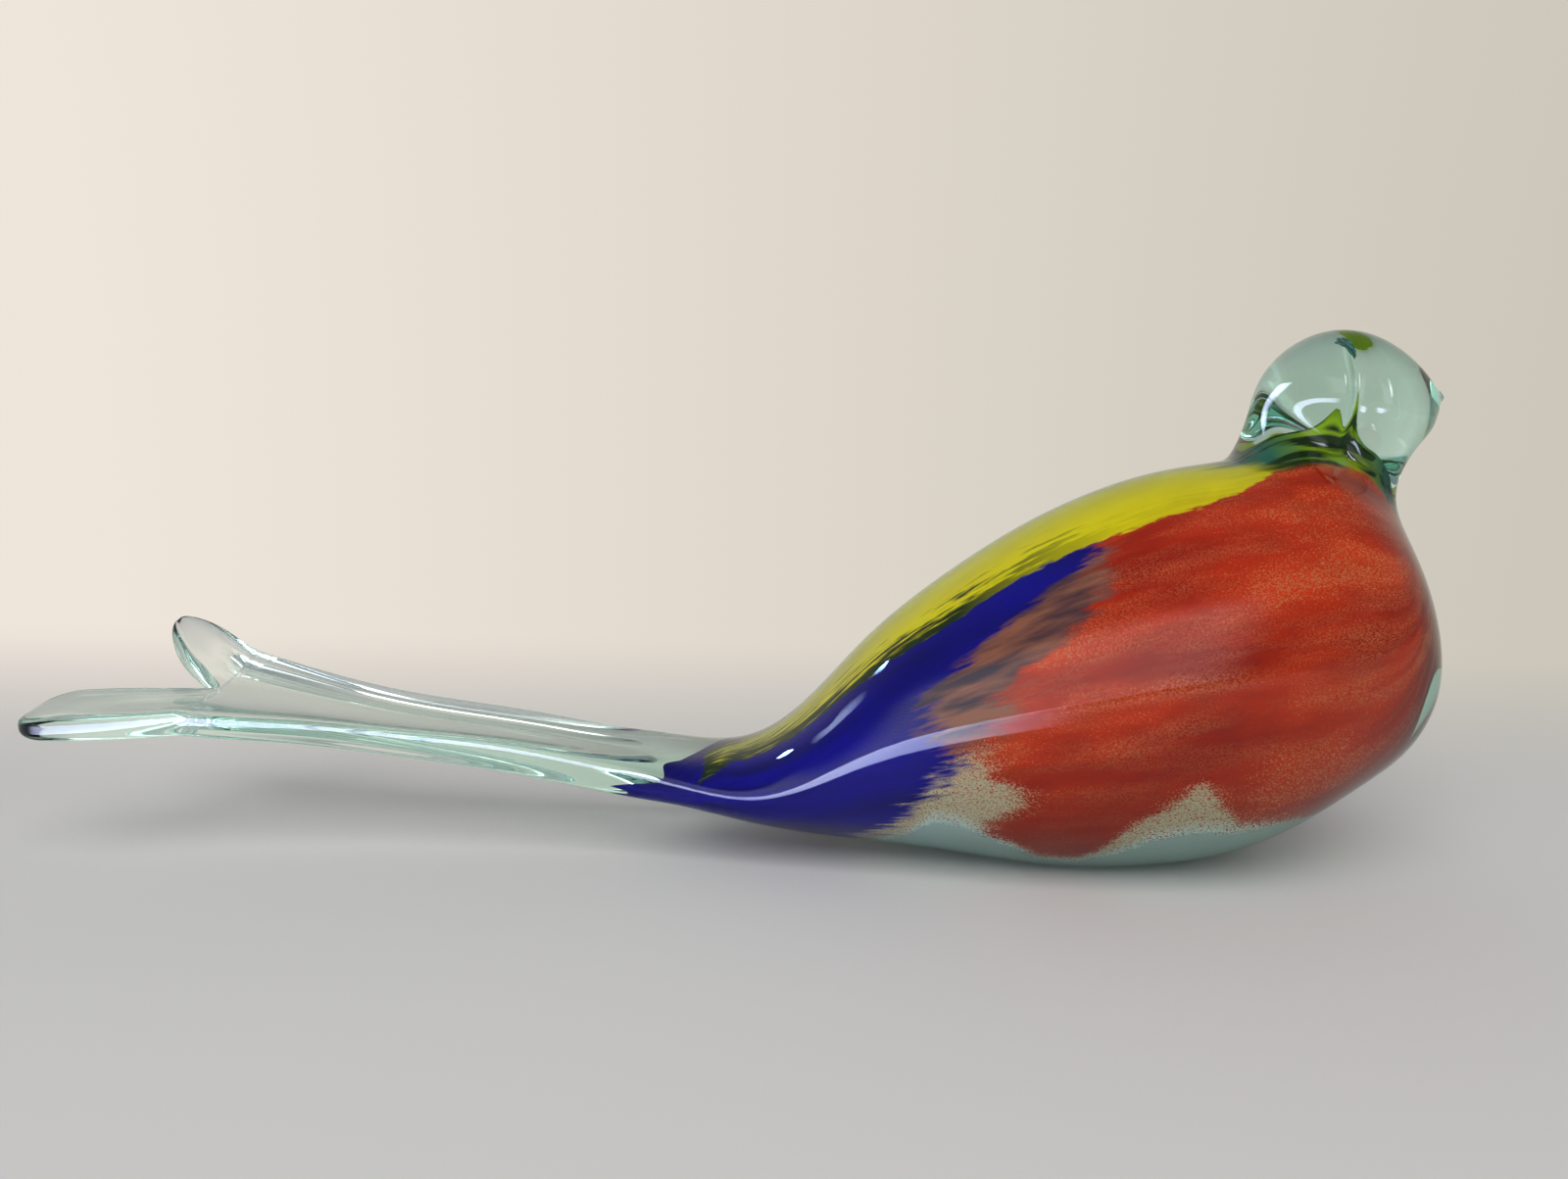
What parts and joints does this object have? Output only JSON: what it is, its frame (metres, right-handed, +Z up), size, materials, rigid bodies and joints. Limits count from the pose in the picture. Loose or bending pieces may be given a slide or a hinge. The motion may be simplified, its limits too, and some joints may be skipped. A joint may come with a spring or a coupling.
{
  "type": "glass bird sculpture",
  "caption": "Long-tailed solid glass bird ornament, breast rounded, head raised, tail a forked ribbon, resting on a small ground flat under its belly.",
  "frame": {"origin": "centre of the ground flat under the belly", "axes": "+X towards the head, along the bird from tail to beak; +Z up out of the surface it stands on; the side seen in the picture faces -Y"},
  "size_m": [0.3151, 0.0776, 0.1239],
  "materials": {
    "glass": "fire-polished clear aqua glass over sealed yellow, blue and red colour"
  },
  "bodies": {
    "root": {"glass_bird": "glass"}
  },
  "joints": []
}
